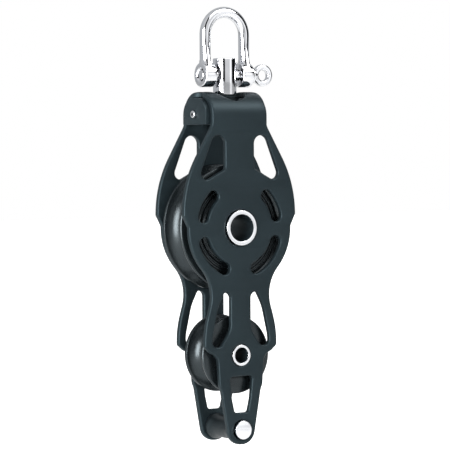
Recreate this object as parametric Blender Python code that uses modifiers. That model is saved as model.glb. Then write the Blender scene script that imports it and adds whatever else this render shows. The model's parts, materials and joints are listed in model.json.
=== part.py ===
"""A fiddle block: a large sheave above a small one between two side plates, under a swivelling shackle.

Metres, +Z up. The origin is the bearing point inside the crown of the shackle bow, from which the block
hangs. Sheaves and axles turn about Y, the front plate is on the -Y side, and the shackle pin lies along X.
"""

from math import atan2, ceil, cos, pi, radians, sin, sqrt, tan

import bmesh
import bpy
from mathutils import Matrix, Vector

MM = 0.001
GAP = 0.3 * MM  # between two pieces that touch or run on each other

# Sheaves: the large and small one, both for the same rope
MAIN_R = 30.0 * MM
SMALL_R = 18.5 * MM
SHEAVE_W = 16.8 * MM
MAIN_GROOVE_R = 6.9 * MM
SMALL_GROOVE_R = 6.5 * MM
LIP_ROUND = 0.5 * MM
SHEAVE_SPACING = 11.6 * MM  # rope room between the two rims

# Side plates
PLATE_T = 2.9 * MM
SIDE_ROOM = 2.1 * MM  # from a sheave's side to the plate's inner face
HEAD_HALF_W = 15.0 * MM
HEAD_H = 15.7 * MM
HEAD_CORNER_R = 7.0 * MM
ROLL_R = 11.5 * MM  # outer radius where a plate's top rolls over the head block
HEAD_CLEAR = 18.7 * MM  # from the head block down to the large sheave
RIM_COVER = 1.1 * MM  # the plate past the large sheave's rim at the sides
RIM_SHOW = 1.6 * MM  # the sheave past the plate below the beak
BEAK_TIP = 6.0 * MM  # the beak's point above the large axle
BEAK_FOOT = 0.6 * MM  # where its slant meets the plate's lower edge
NECK_DROP = 0.4 * MM  # the head's straight sides end this far below the block
NECK_R = 7.0 * MM
FLANK_R = 57.5 * MM
FLANK_SLOPE = radians(60)
WAIST_HALF_W = 16.1 * MM
WAIST_R = 20.0 * MM
FOOT_COVER = 1.5 * MM  # the plate past the small sheave's rim at the sides
FOOT_TIP = 4.2 * MM  # the lower beak's point above the small axle
BECKET_DROP = 16.7 * MM  # from the small sheave's rim down to the becket pin
BECKET_END_R = 7.0 * MM
ARM_HALF_W = 10.9 * MM
SLOT_HALF_W = 2.9 * MM
SLOT_INSET = 9.1 * MM  # slot centreline inside the large sheave's rim
SLOT_SPANS = ((15.3, 45.2), (-65.6, -19.6))  # degrees up from the axle's level
MAIN_RIB_HALF_W = 8.0 * MM  # the rib between the upper windows
SMALL_RIB_HALF_W = 5.1 * MM  # the rib between the lower windows
STRIP_W = 3.5 * MM  # the plate left outside a lower window's top
LOWER_STRIP_W = 4.2 * MM  # and outside its foot
WINDOW_LOW = 10.5 * MM  # the upper window's low corner below the large sheave's top
WINDOW_INSET = 5.9 * MM  # and inside its rim
WINDOW_SHOULDER = 2.2 * MM  # its corner beside the rib, below the sheave's top
WINDOW_PEAK = 30.3 * MM  # where its sides would meet, above the sheave's top
LOWER_WINDOW_TOP = 11.2 * MM  # above the small sheave's top
LOWER_WINDOW_KNEE = 4.4 * MM
BECKET_WINDOW_DROP = 4.75 * MM  # below the small axle's rim

# Axles, hollow and flared over the plates at both ends
MAIN_AXLE_R = 7.9 * MM
MAIN_AXLE_BORE_R = 6.6 * MM
MAIN_RIM_R = 8.5 * MM
MAIN_RIM_PROUD = 1.1 * MM
SMALL_AXLE_R = 4.6 * MM
SMALL_AXLE_BORE_R = 4.0 * MM
SMALL_RIM_R = 5.15 * MM
SMALL_RIM_PROUD = 0.1 * MM
RIM_SINK = 0.9 * MM  # how deep a flared rim sits in its plate
BUSHING_T = 1.6 * MM

# Side-load bearings
RACE_T = 0.8 * MM
MAIN_BALL_R = 1.6 * MM
MAIN_BALL_CIRCLE = 13.2 * MM
MAIN_BALLS = 9
SMALL_BALL_R = 1.0 * MM
SMALL_BALL_CIRCLE = 8.6 * MM
SMALL_BALLS = 8
WEB_FROM_BALLS = 3.8 * MM  # the recessed web's inner edge past the ball circle
WEB_RIM = 4.0 * MM  # and its outer edge inside the rim
WEB_DEPTH = 1.2 * MM

# Head: block, swivel post and its nut
BLOCK_HALF_L = 17.0 * MM
BLOCK_END_ROUND = 2.0 * MM
POST_R = 5.55 * MM
POST_NECK_R = 4.6 * MM
POST_ABOVE_PIN = 7.9 * MM
POST_HOLE_R = 9.6 * MM
POST_BUSH_T = 1.5 * MM
POST_FLANGE_R = 6.9 * MM
POST_FLANGE_T = 0.8 * MM
NUT_SINK = 2.4 * MM  # depth of the block's counterbore for the washer and nut
WASHER_R = 7.5 * MM
WASHER_T = 0.9 * MM
NUT_H = 4.6 * MM
NUT_R = 7.5 * MM
POST_END_SHOW = 0.6 * MM
ROLL_PIN_R = 0.8 * MM
SET_SCREW_R = 1.75 * MM
SET_SCREW_UP = 4.8 * MM  # above the block's underside
SET_SCREW_TRAVEL = 0.6 * MM
SET_SCREW_STOP = 0.6 * MM  # left between the tip and the post when it is screwed in
SET_SCREW_PROUD = 1.3 * MM
SOCKET_R = 0.85 * MM
SOCKET_DEPTH = 2.0 * MM

# Shackle
ROD_R = 2.6 * MM
BOW_INNER_HALF_W = 8.2 * MM
PIN_DROP = 27.1 * MM  # from the crown's inside to the pin's axis
PIN_R = 2.5 * MM
EAR_R = 5.8 * MM
EAR_GAP = 7.3 * MM  # half the space between the ears
EAR_T = 6.3 * MM
EAR_SINK_R = 3.4 * MM
EAR_SINK = 0.8 * MM
PIN_ABOVE_HEAD = 7.7 * MM
COLLAR_R = 4.0 * MM
COLLAR_T = 1.5 * MM
EYE_R = 5.2 * MM
EYE_HOLE_R = 2.6 * MM
EYE_T = 3.2 * MM
EYE_NECK = 1.0 * MM  # from the collar to the eye's rim

# Becket: the pin and spool that hold a rope's end
BECKET_PIN_R = 2.5 * MM
BECKET_HEAD_R = 4.4 * MM
BECKET_HEAD_PROUD = 1.6 * MM
BECKET_SEAT = 0.6 * MM  # depth of the seats round the head and the clip
SPOOL_R = 6.0 * MM
SPOOL_DRUM_R = 5.1 * MM
SPOOL_FLANGE_T = 2.0 * MM
CLIP_R = 4.2 * MM
CLIP_T = 0.8 * MM
CLIP_OPEN = radians(70)
CLIP_DEPTH = 0.5 * MM  # of the groove it snaps into
BECKET_END = 0.9 * MM  # of the pin past its clip

# What follows from the sizes above
INNER_Y = SHEAVE_W / 2 + SIDE_ROOM
OUTER_Y = INNER_Y + PLATE_T
PIN_Z = -PIN_DROP
HEAD_TOP_Z = PIN_Z - PIN_ABOVE_HEAD
HEAD_BOTTOM_Z = HEAD_TOP_Z - HEAD_H
MAIN_Z = HEAD_BOTTOM_Z - HEAD_CLEAR - MAIN_R
SMALL_Z = MAIN_Z - MAIN_R - SHEAVE_SPACING - SMALL_R
BECKET_Z = SMALL_Z - SMALL_R - BECKET_DROP
BOTTOM_Z = BECKET_Z - BECKET_END_R
BLOCK_TOP_Z = HEAD_TOP_Z - PLATE_T - GAP
BLOCK_HALF_T = INNER_Y - GAP
SCREW_Z = HEAD_BOTTOM_Z + SET_SCREW_UP
NUT_SEAT_Z = HEAD_BOTTOM_Z + NUT_SINK
NUT_Z = NUT_SEAT_Z - GAP - WASHER_T - GAP  # top of the nut
FOOT_HALF_W = SMALL_R + FOOT_COVER
RACE_Y = INNER_Y - GAP - RACE_T  # inner face of the race washers
BEYOND = 3.0 * MM  # cutters run this far past what they cut

for old in list(bpy.data.objects):
    bpy.data.objects.remove(old)

parts = bpy.data.collections.new("fiddle_block")
cutters = bpy.data.collections.new("cutters")
bpy.context.scene.collection.children.link(parts)
bpy.context.scene.collection.children.link(cutters)


def finish(name, colour, roughness, metallic):
    """A material with one plain surface."""
    made = bpy.data.materials.new(name)
    made.use_nodes = True
    surface = made.node_tree.nodes["Principled BSDF"]
    surface.inputs["Base Color"].default_value = (*colour, 1)
    surface.inputs["Roughness"].default_value = roughness
    surface.inputs["Metallic"].default_value = metallic
    return made


# Outlines: lists of (u, v) points, closed


def rounded(corners):
    """The outline through (u, v, radius) corners. A fillet shrinks where its edges are too short for it."""
    count = len(corners)
    points = [Vector(corner[:2]) for corner in corners]
    halves = []
    reaches = []
    for i, (_, _, radius) in enumerate(corners):
        back = points[i - 1] - points[i]
        ahead = points[(i + 1) % count] - points[i]
        halves.append(back.angle(ahead) / 2)
        reaches.append(radius / tan(halves[i]))
    limits = list(reaches)
    for i in range(count):
        j = (i + 1) % count
        edge = (points[j] - points[i]).length
        both = reaches[i] + reaches[j]
        if both > edge:
            limits[i] = min(limits[i], reaches[i] * edge / both)
            limits[j] = min(limits[j], reaches[j] * edge / both)
    outline = []
    for i, point in enumerate(points):
        if limits[i] < 0.02 * MM:
            outline.append(tuple(point))
            continue
        back = (points[i - 1] - point).normalized()
        ahead = (points[(i + 1) % count] - point).normalized()
        radius = limits[i] * tan(halves[i])
        centre = point + (back + ahead).normalized() * radius / sin(halves[i])
        start = point + back * limits[i] - centre
        turn = start.angle_signed(point + ahead * limits[i] - centre)
        steps = max(2, ceil(abs(turn) / radians(31)), ceil(abs(turn) * radius / (7 * MM)))
        for k in range(steps + 1):
            swept = start.copy()
            swept.rotate(Matrix.Rotation(-turn * k / steps, 2))
            outline.append(tuple(centre + swept))
    return outline


def circle(u, v, radius, steps=32):
    turns = [2 * pi * k / steps for k in range(steps)]
    return [(u + radius * cos(turn), v + radius * sin(turn)) for turn in turns]


def arc(u, v, radius, start, end, steps):
    angles = [start + (end - start) * k / steps for k in range(steps + 1)]
    return [(u + radius * cos(a), v + radius * sin(a)) for a in angles]


def arc_slot(v, radius, half_width, start, end):
    """A round-ended slot along an arc about (0, v), between two angles in degrees."""
    first, last = radians(start), radians(end)
    steps = ceil((last - first) / radians(7))
    outline = arc(0, v, radius + half_width, first, last, steps)
    outline += arc(radius * cos(last), v + radius * sin(last), half_width, last, last + pi, 5)[1:-1]
    outline += arc(0, v, radius - half_width, last, first, steps)
    back = first + pi
    outline += arc(radius * cos(first), v + radius * sin(first), half_width, back, back + pi, 5)[1:-1]
    return outline


def mirrored(outline):
    return [(-u, v) for u, v in reversed(outline)]


# Solids


def add(name, mesh, group, material=None):
    made = bpy.data.objects.new(name, mesh)
    group.objects.link(made)
    if material:
        mesh.materials.append(material)
    if group is cutters:
        made.hide_render = True
        made.display_type = "WIRE"
    mesh.shade_smooth()
    mesh.set_sharp_from_angle(angle=radians(35))
    return made


TURNS = {
    "X": Matrix(((0, 0, 1), (1, 0, 0), (0, 1, 0))).to_4x4(),
    "Y": Matrix(((1, 0, 0), (0, 0, -1), (0, 1, 0))).to_4x4(),
    "Z": Matrix.Identity(4),
}


def prism(name, outlines, low, high, axis, group, material=None):
    """Outlines, the first one's holes after it, extruded from low to high along an axis.

    The outlines lie in YZ for axis X, in XZ for axis Y and in XY for axis Z.
    """
    curve = bpy.data.curves.new(name, "CURVE")
    curve.dimensions = "2D"
    curve.fill_mode = "BOTH"
    curve.extrude = (high - low) / 2
    for outline in outlines:
        spline = curve.splines.new("POLY")
        spline.points.add(len(outline) - 1)
        spline.use_cyclic_u = True
        for point, (u, v) in zip(spline.points, outline):
            point.co = (u, v, 0, 1)
    holder = bpy.data.objects.new(name + "_outline", curve)
    cutters.objects.link(holder)
    graph = bpy.context.evaluated_depsgraph_get()
    mesh = bpy.data.meshes.new_from_object(holder.evaluated_get(graph))
    bpy.data.objects.remove(holder)
    bpy.data.curves.remove(curve)
    weld(mesh)
    mesh.name = name
    middle = Vector([(low + high) / 2 if axis == letter else 0 for letter in "XYZ"])
    mesh.transform(Matrix.Translation(middle) @ TURNS[axis])
    return add(name, mesh, group, material)


def weld(mesh):
    """Join a curve's loose caps to its sides."""
    shape = bmesh.new()
    shape.from_mesh(mesh)
    bmesh.ops.remove_doubles(shape, verts=shape.verts, dist=0.001 * MM)
    bmesh.ops.recalc_face_normals(shape, faces=shape.faces)
    shape.to_mesh(mesh)
    shape.free()


def turned(name, profile, axis, centre, group, material=None, steps=32):
    """A profile of (radius, height) points turned about an axis through centre.

    The profile runs down its outer side from top to bottom. It is closed unless it begins on the axis.
    """
    mesh = bpy.data.meshes.new(name)
    count = len(profile)
    edges = [(i, i + 1) for i in range(count - 1)]
    if profile[0][0] > 0:
        edges.append((count - 1, 0))
    mesh.from_pydata([(r, 0, h) for r, h in profile], edges, [])
    made = add(name, mesh, group, material)
    made.location = centre
    made.rotation_euler = {"X": (0, pi / 2, 0), "Y": (-pi / 2, 0, 0), "Z": (0, 0, 0)}[axis]
    spin = made.modifiers.new("turn", "SCREW")
    spin.angle = 2 * pi
    spin.steps = steps
    spin.render_steps = steps
    spin.use_merge_vertices = True
    spin.merge_threshold = 0.001 * MM
    spin.use_smooth_shade = True
    return made


def rod(name, radius, low, high, axis, centre, group, material=None, steps=24):
    """A plain cylinder from low to high along an axis."""
    profile = [(0, high), (radius, high), (radius, low), (0, low)]
    return turned(name, profile, axis, centre, group, material, steps)


def combine(piece, other, operation):
    change = piece.modifiers.new(operation.lower(), "BOOLEAN")
    change.operation = operation
    change.solver = "EXACT"
    change.object = other


# Side plates


def plate_outline():
    """The plate's edge from the middle of its head down its right side, then back up its left."""
    side = MAIN_R + RIM_COVER
    inner = MAIN_R - RIM_SHOW
    head = [
        (HEAD_HALF_W, HEAD_TOP_Z, HEAD_CORNER_R),
        (HEAD_HALF_W, HEAD_BOTTOM_Z - NECK_DROP, NECK_R),
    ]
    # the flank swells in one long arc from the head to the beak beside the axle
    swell = (side - HEAD_HALF_W) * tan(FLANK_SLOPE)
    flank = [(side, HEAD_BOTTOM_Z - NECK_DROP - swell, FLANK_R)]
    flank += [(side, MAIN_Z + BEAK_TIP, 1.3 * MM), (inner, MAIN_Z + BEAK_FOOT, 1 * MM)]
    # below the beak the edge follows the sheave, then turns out of it into the waist
    leave = atan2(sqrt((inner + WAIST_R) ** 2 - (WAIST_HALF_W + WAIST_R) ** 2), WAIST_HALF_W + WAIST_R)
    down = inner * sin(leave) + (inner * cos(leave) - WAIST_HALF_W) / tan(leave)
    waist = [
        (inner, MAIN_Z - inner * tan(leave / 2), inner),
        (WAIST_HALF_W, MAIN_Z - down, WAIST_R),
        (WAIST_HALF_W, SMALL_Z + SMALL_R + 7 * MM, WAIST_R),
    ]
    foot = [
        (FOOT_HALF_W, SMALL_Z + FOOT_TIP + 8 * MM, 45 * MM),
        (FOOT_HALF_W, SMALL_Z + FOOT_TIP, 2.2 * MM),
        (FOOT_HALF_W - 3 * MM, SMALL_Z + FOOT_TIP - 2.6 * MM, 1 * MM),
        (ARM_HALF_W + 1.9 * MM, SMALL_Z + FOOT_TIP - 4.5 * MM, 5 * MM),
        (ARM_HALF_W + 1 * MM, BECKET_Z + 21.1 * MM, 4 * MM),
        (ARM_HALF_W, BECKET_Z + 18.7 * MM, 4 * MM),
        (BECKET_END_R - 0.6 * MM, BOTTOM_Z, BECKET_END_R),
    ]
    half = head + flank + waist + foot
    return rounded(half + [(-u, v, radius) for u, v, radius in reversed(half)])


def plate_windows():
    """The openings on the plate's right side, which the left side mirrors."""
    crest = MAIN_Z + MAIN_R
    beside_main = [
        (MAIN_RIB_HALF_W, crest + WINDOW_PEAK, 3.95 * MM),
        (MAIN_R - WINDOW_INSET, crest - WINDOW_LOW, 3 * MM),
        (MAIN_RIB_HALF_W, crest - WINDOW_SHOULDER, 1.5 * MM),
    ]
    crest = SMALL_Z + SMALL_R
    edge = FOOT_HALF_W - LOWER_STRIP_W
    beside_small = [
        (SMALL_RIB_HALF_W, crest + LOWER_WINDOW_TOP, 3 * MM),
        (WAIST_HALF_W - 2 * STRIP_W, crest + LOWER_WINDOW_TOP, 1.4 * MM),
        (WAIST_HALF_W - STRIP_W, crest + LOWER_WINDOW_KNEE, 18 * MM),
        (edge, SMALL_Z + FOOT_TIP + 4.7 * MM, 14 * MM),
        (edge, SMALL_Z + FOOT_TIP, 2.7 * MM),
        (edge - 4.7 * MM, SMALL_Z + FOOT_TIP, 3 * MM),
        (SMALL_RIB_HALF_W, SMALL_Z + FOOT_TIP + 7.8 * MM, 9 * MM),
    ]
    slot_r = MAIN_R - SLOT_INSET
    slots = [arc_slot(MAIN_Z, slot_r, SLOT_HALF_W, low, high) for low, high in SLOT_SPANS]
    return [rounded(beside_main), rounded(beside_small), *slots]


def becket_window():
    """The opening across the middle, between the small axle and the becket pin."""
    top = SMALL_Z - SMALL_RIM_R - BECKET_WINDOW_DROP
    right = [
        (6.3 * MM, top, 1.8 * MM),
        (5.2 * MM, BECKET_Z + BECKET_END_R + 7.7 * MM, 6 * MM),
        (3.7 * MM, BECKET_Z + BECKET_END_R + 1.1 * MM, 1.6 * MM),
    ]
    return rounded(right + [(-u, v, radius) for u, v, radius in reversed(right)])


def side_plate(name, side, material):
    """One plate: its outline cut out of a section whose top rolls over the head block."""
    windows = plate_windows()
    outlines = [plate_outline(), *windows, *[mirrored(w) for w in windows], becket_window()]
    low, high = sorted((side * GAP / 2, side * (OUTER_Y + BEYOND)))
    plate = prism(name, outlines, low, high, "Y", parts, material)
    section = [
        (side * OUTER_Y, BOTTOM_Z - BEYOND, 0),
        (side * OUTER_Y, HEAD_TOP_Z, ROLL_R),
        (side * GAP / 2, HEAD_TOP_Z, 0),
        (side * GAP / 2, HEAD_TOP_Z - PLATE_T, 0),
        (side * INNER_Y, HEAD_TOP_Z - PLATE_T, ROLL_R - PLATE_T),
        (side * INNER_Y, BOTTOM_Z - BEYOND, 0),
    ]
    reach = MAIN_R + RIM_COVER + BEYOND
    combine(plate, prism(name + "_section", [rounded(section)], -reach, reach, "X", cutters), "INTERSECT")
    low = HEAD_TOP_Z - ROLL_R
    hole = rod(name + "_post_hole", POST_HOLE_R, low, HEAD_TOP_Z + BEYOND, "Z", (0, 0, 0), cutters, steps=32)
    combine(plate, hole, "DIFFERENCE")
    holes = (
        ("_main_hole", MAIN_AXLE_R, MAIN_RIM_R, RIM_SINK, MAIN_Z, 32),
        ("_small_hole", SMALL_AXLE_R, SMALL_RIM_R, RIM_SINK, SMALL_Z, 24),
        ("_becket_hole", BECKET_PIN_R, BECKET_HEAD_R, BECKET_SEAT, BECKET_Z, 24),
    )
    for end, bore_r, seat_r, depth, z, steps in holes:
        hole = seated_hole(name + end, side, bore_r + GAP, seat_r + GAP, depth + GAP, z, steps)
        combine(plate, hole, "DIFFERENCE")
    return plate


def seated_hole(name, side, bore_r, seat_r, depth, z, steps):
    """A cutter for a hole through one plate with a wider seat in its outer face."""
    floor = side * (OUTER_Y - depth)
    wide = [(seat_r, side * (OUTER_Y + BEYOND)), (seat_r, floor)]
    narrow = [(bore_r, floor), (bore_r, side * (INNER_Y - BEYOND))]
    profile = [(0, wide[0][1]), *wide, *narrow, (0, narrow[1][1])]
    if side < 0:
        profile.reverse()
    return turned(name, profile, "Y", (0, 0, z), cutters, steps=steps)


# Sheaves, axles and bearings


def sheave(name, radius, groove_r, hub_r, ball_circle, ball_r, z, material, steps, recess=None):
    """A sheave: rope groove, rounded lips, a ball groove each side, and a recess where there's room."""
    half = SHEAVE_W / 2
    top = radius + 0.1 * MM  # centre of the groove's arc
    limit = atan2(sqrt(groove_r**2 - (top - radius) ** 2), top - radius)
    rope = [(top - groove_r * cos(a), groove_r * sin(a)) for a in [limit * (1 - k / 4) for k in range(9)]]
    lip = [(radius - 2 * LIP_ROUND, half), (radius, half - LIP_ROUND)]
    wall = ball_r + GAP
    floor = RACE_Y - 2 * GAP - 2 * ball_r
    face = [(hub_r, half), (ball_circle - wall, half), (ball_circle - wall, floor)]
    face += [(ball_circle + wall, floor), (ball_circle + wall, half)]
    if recess:
        inside, outside, depth = recess
        web = half - depth
        face += [(inside, half), (inside + depth, web), (outside - depth, web), (outside, half)]
    upper = [*face, *lip]
    lower = [(r, -h) for r, h in reversed(upper)]
    return turned(name, [*upper, *rope, *lower], "Y", (0, 0, z), parts, material, steps)


def axle(name, radius, bore_r, rim_r, proud, z, material, steps):
    """A hollow axle whose flared rims sit in the plates' seats."""
    end = OUTER_Y + proud
    neck = OUTER_Y - RIM_SINK
    chamfer = 0.25 * MM
    upper = [(bore_r + chamfer, end), (rim_r - chamfer, end), (rim_r, end - chamfer)]
    upper += [(rim_r, neck), (radius, neck)]
    lower = [(r, -h) for r, h in reversed(upper)]
    bore = [(bore_r, -end + chamfer), (bore_r, end - chamfer)]
    return turned(name, [*upper, *lower, *bore], "Y", (0, 0, z), parts, material, steps)


def sleeve(name, inner, outer, low, high, axis, centre, material, steps=24):
    profile = [(inner, high), (outer, high), (outer, low), (inner, low)]
    return turned(name, profile, axis, centre, parts, material, steps)


def ball_ring(name, side, circle_r, ball_r, count, z, material):
    """The side-load balls of one sheave face, held in their retainer ring."""
    middle = side * (RACE_Y - GAP - ball_r)
    half_t = 0.35 * ball_r
    half_w = 0.75 * ball_r
    low, high = middle - half_t, middle + half_t
    ring = sleeve(name, circle_r - half_w, circle_r + half_w, low, high, "Y", (0, 0, z), material)
    shape = bmesh.new()
    for k in range(count):
        a = 2 * pi * k / count
        place = Matrix.Translation((circle_r * cos(a), middle, z + circle_r * sin(a)))
        bmesh.ops.create_icosphere(shape, subdivisions=1, radius=ball_r, matrix=place)
    mesh = bpy.data.meshes.new(name + "_balls")
    shape.to_mesh(mesh)
    shape.free()
    combine(ring, add(name + "_balls", mesh, cutters), "UNION")
    return ring


# Head


def head_block(material):
    """The block that the plates roll over, bored for the post's bushing and tapped for the set screw."""
    edge = 1 * MM
    corner = ROLL_R - PLATE_T - GAP
    section = [
        (BLOCK_HALF_T, HEAD_BOTTOM_Z, edge),
        (BLOCK_HALF_T, BLOCK_TOP_Z, corner),
        (-BLOCK_HALF_T, BLOCK_TOP_Z, corner),
        (-BLOCK_HALF_T, HEAD_BOTTOM_Z, edge),
    ]
    block = prism("head_block", [rounded(section)], -BLOCK_HALF_L, BLOCK_HALF_L, "X", parts, material)
    ends = [
        (BLOCK_HALF_L, HEAD_BOTTOM_Z, edge),
        (BLOCK_HALF_L, BLOCK_TOP_Z, BLOCK_END_ROUND),
        (-BLOCK_HALF_L, BLOCK_TOP_Z, BLOCK_END_ROUND),
        (-BLOCK_HALF_L, HEAD_BOTTOM_Z, edge),
    ]
    reach = BLOCK_HALF_T + BEYOND
    combine(block, prism("block_ends", [rounded(ends)], -reach, reach, "Y", cutters), "INTERSECT")
    bore_r = POST_NECK_R + GAP + POST_BUSH_T + GAP
    top = BLOCK_TOP_Z + BEYOND
    low = HEAD_BOTTOM_Z - BEYOND
    sink_r = NUT_R + GAP
    bore = [(0, top), (bore_r, top), (bore_r, NUT_SEAT_Z), (sink_r, NUT_SEAT_Z), (sink_r, low), (0, low)]
    combine(block, turned("block_bore", bore, "Z", (0, 0, 0), cutters), "DIFFERENCE")
    combine(block, screw_hole(), "DIFFERENCE")
    return block


def screw_hole():
    """The set screw's hole, from past the block's left end into the post's bushing."""
    low = -BLOCK_HALF_L - BEYOND
    name = "screw_hole"
    return rod(name, SET_SCREW_R + GAP, low, -POST_NECK_R, "X", (0, 0, SCREW_Z), cutters)


def post_bushing(material):
    """The flanged sleeve that the post turns in, with a side hole for the set screw's tip."""
    inner = POST_NECK_R + GAP
    outer = inner + POST_BUSH_T
    flange = BLOCK_TOP_Z + GAP
    profile = [
        (inner, flange + POST_FLANGE_T),
        (POST_FLANGE_R, flange + POST_FLANGE_T),
        (POST_FLANGE_R, flange),
        (outer, flange),
        (outer, NUT_SEAT_Z + GAP),
        (inner, NUT_SEAT_Z + GAP),
    ]
    made = turned("post_bushing", profile, "Z", (0, 0, 0), parts, material)
    combine(made, screw_hole(), "DIFFERENCE")
    return made


def swivel_post(material):
    """The post: a cross-bored head above a shoulder, and a neck through the block down to the nut."""
    top = PIN_Z + POST_ABOVE_PIN
    shoulder = BLOCK_TOP_Z + POST_FLANGE_T + 2 * GAP
    chamfer = 0.7 * MM
    end = NUT_Z - NUT_H - POST_END_SHOW
    profile = [
        (0, top),
        (POST_R - chamfer, top),
        (POST_R, top - chamfer),
        (POST_R, shoulder),
        (POST_NECK_R, shoulder),
        (POST_NECK_R, end + chamfer),
        (POST_NECK_R - chamfer, end),
        (0, end),
    ]
    made = turned("swivel_post", profile, "Z", (0, 0, 0), parts, material)
    reach = POST_R + BEYOND
    bore = rod("post_pin_bore", PIN_R + GAP, -reach, reach, "X", (0, 0, PIN_Z), cutters)
    combine(made, bore, "DIFFERENCE")
    combine(made, lock_hole("post_lock_hole"), "DIFFERENCE")
    return made


def lock_hole(name):
    """The hole through the nut and the post for the roll pin."""
    reach = NUT_R + BEYOND
    return rod(name, ROLL_PIN_R + GAP, -reach, reach, "Y", (0, 0, NUT_Z - NUT_H / 2), cutters, steps=12)


def post_nut(material):
    outlines = [circle(0, 0, NUT_R, 6), circle(0, 0, POST_NECK_R + GAP)]
    nut = prism("post_nut", outlines, NUT_Z - NUT_H, NUT_Z, "Z", parts, material)
    combine(nut, lock_hole("nut_lock_hole"), "DIFFERENCE")
    return nut


def set_screw(material):
    """The hex-socket screw in the block's left end, its tip just short of the post."""
    head = -BLOCK_HALF_L - SET_SCREW_PROUD
    edge = 0.4 * MM
    tip = -POST_NECK_R - SET_SCREW_STOP - SET_SCREW_TRAVEL
    point = 0.6 * MM
    profile = [(0, tip), (SET_SCREW_R - point, tip), (SET_SCREW_R, tip - point)]
    profile += [(SET_SCREW_R, head + edge), (SET_SCREW_R - edge, head), (0, head)]
    made = turned("swivel_set_screw", profile, "X", (0, 0, SCREW_Z), parts, material, 24)
    hexagon = [(v, u + SCREW_Z) for u, v in circle(0, 0, SOCKET_R, 6)]
    socket = prism("screw_socket", [hexagon], head - BEYOND, head + SOCKET_DEPTH, "X", cutters)
    combine(made, socket, "DIFFERENCE")
    return made


# Shackle


def shackle_bow(material):
    """A round rod bent over a half circle, with a bored ear at the foot of each leg."""
    mid_r = BOW_INNER_HALF_W + ROD_R
    centre_z = -BOW_INNER_HALF_W
    path = [(mid_r, PIN_Z + 2 * MM)]
    path += [(mid_r * cos(pi * k / 14), centre_z + mid_r * sin(pi * k / 14)) for k in range(15)]
    path += [(-mid_r, PIN_Z + 2 * MM)]
    curve = bpy.data.curves.new("shackle_bow", "CURVE")
    curve.dimensions = "3D"
    curve.bevel_depth = ROD_R
    curve.bevel_resolution = 3
    curve.use_fill_caps = True
    spline = curve.splines.new("POLY")
    spline.points.add(len(path) - 1)
    for point, (x, z) in zip(spline.points, path):
        point.co = (x, 0, z, 1)
    holder = bpy.data.objects.new("bow_path", curve)
    cutters.objects.link(holder)
    graph = bpy.context.evaluated_depsgraph_get()
    mesh = bpy.data.meshes.new_from_object(holder.evaluated_get(graph))
    bpy.data.objects.remove(holder)
    bpy.data.curves.remove(curve)
    weld(mesh)
    bow = add("shackle_bow", mesh, parts, material)
    for side, word in ((1, "right"), (-1, "left")):
        low, high = sorted((side * EAR_GAP, side * (EAR_GAP + EAR_T)))
        combine(bow, rod(f"{word}_ear", EAR_R, low, high, "X", (0, 0, PIN_Z), cutters, steps=28), "UNION")
    reach = EAR_GAP + EAR_T + BEYOND
    combine(bow, rod("ear_bore", PIN_R + GAP, -reach, reach, "X", (0, 0, PIN_Z), cutters), "DIFFERENCE")
    low = -EAR_GAP - EAR_T
    sink = rod("ear_sink", EAR_SINK_R, low - BEYOND, low + EAR_SINK, "X", (0, 0, PIN_Z), cutters)
    combine(bow, sink, "DIFFERENCE")
    return bow


def shackle_pin(material):
    """The pin: shank through ears and post, collar outside the right ear, and a flat eye to turn it by."""
    face = EAR_GAP + EAR_T
    collar = face + GAP
    neck = collar + COLLAR_T + EYE_NECK
    chamfer = 0.4 * MM
    profile = [
        (0, neck + 1 * MM),
        (EYE_T / 2, neck + 1 * MM),
        (EYE_T / 2, collar + COLLAR_T),
        (COLLAR_R, collar + COLLAR_T),
        (COLLAR_R, collar),
        (PIN_R, collar),
        (PIN_R, -face + chamfer),
        (PIN_R - chamfer, -face),
        (0, -face),
    ]
    pin = turned("shackle_pin", profile, "X", (0, 0, PIN_Z), parts, material, 24)
    centre = neck + EYE_R - 0.5 * MM
    eye = [circle(centre, PIN_Z, EYE_R, 28), circle(centre, PIN_Z, EYE_HOLE_R, 20)]
    combine(pin, prism("pin_eye", eye, -EYE_T / 2, EYE_T / 2, "Y", cutters), "UNION")
    return pin


# Becket


def becket_pin(material):
    """A headed pin with a snap-ring groove past the rear plate."""
    head_top = OUTER_Y + BECKET_HEAD_PROUD
    seat = OUTER_Y - BECKET_SEAT
    clip = seat + CLIP_T
    end = clip + GAP + BECKET_END
    groove_r = BECKET_PIN_R - CLIP_DEPTH
    profile = [
        (0, end),
        (BECKET_PIN_R, end),
        (BECKET_PIN_R, clip + GAP),
        (groove_r, clip + GAP),
        (groove_r, seat - GAP),
        (BECKET_PIN_R, seat - GAP),
        (BECKET_PIN_R, -seat),
        (BECKET_HEAD_R, -seat),
        (BECKET_HEAD_R, -head_top + 0.3 * MM),
        (BECKET_HEAD_R - 0.3 * MM, -head_top),
        (0, -head_top),
    ]
    return turned("becket_pin", profile, "Y", (0, 0, BECKET_Z), parts, material, 24)


def becket_clip(material):
    """The open snap ring in the becket pin's groove."""
    inner = BECKET_PIN_R - CLIP_DEPTH + GAP
    first = -pi / 2 + CLIP_OPEN / 2
    sweep = 2 * pi - CLIP_OPEN
    angles = [first + sweep * k / 20 for k in range(21)]
    outline = [(CLIP_R * cos(a), BECKET_Z + CLIP_R * sin(a)) for a in angles]
    outline += [(inner * cos(a), BECKET_Z + inner * sin(a)) for a in reversed(angles)]
    seat = OUTER_Y - BECKET_SEAT
    return prism("becket_clip", [outline], seat, seat + CLIP_T, "Y", parts, material)


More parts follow.
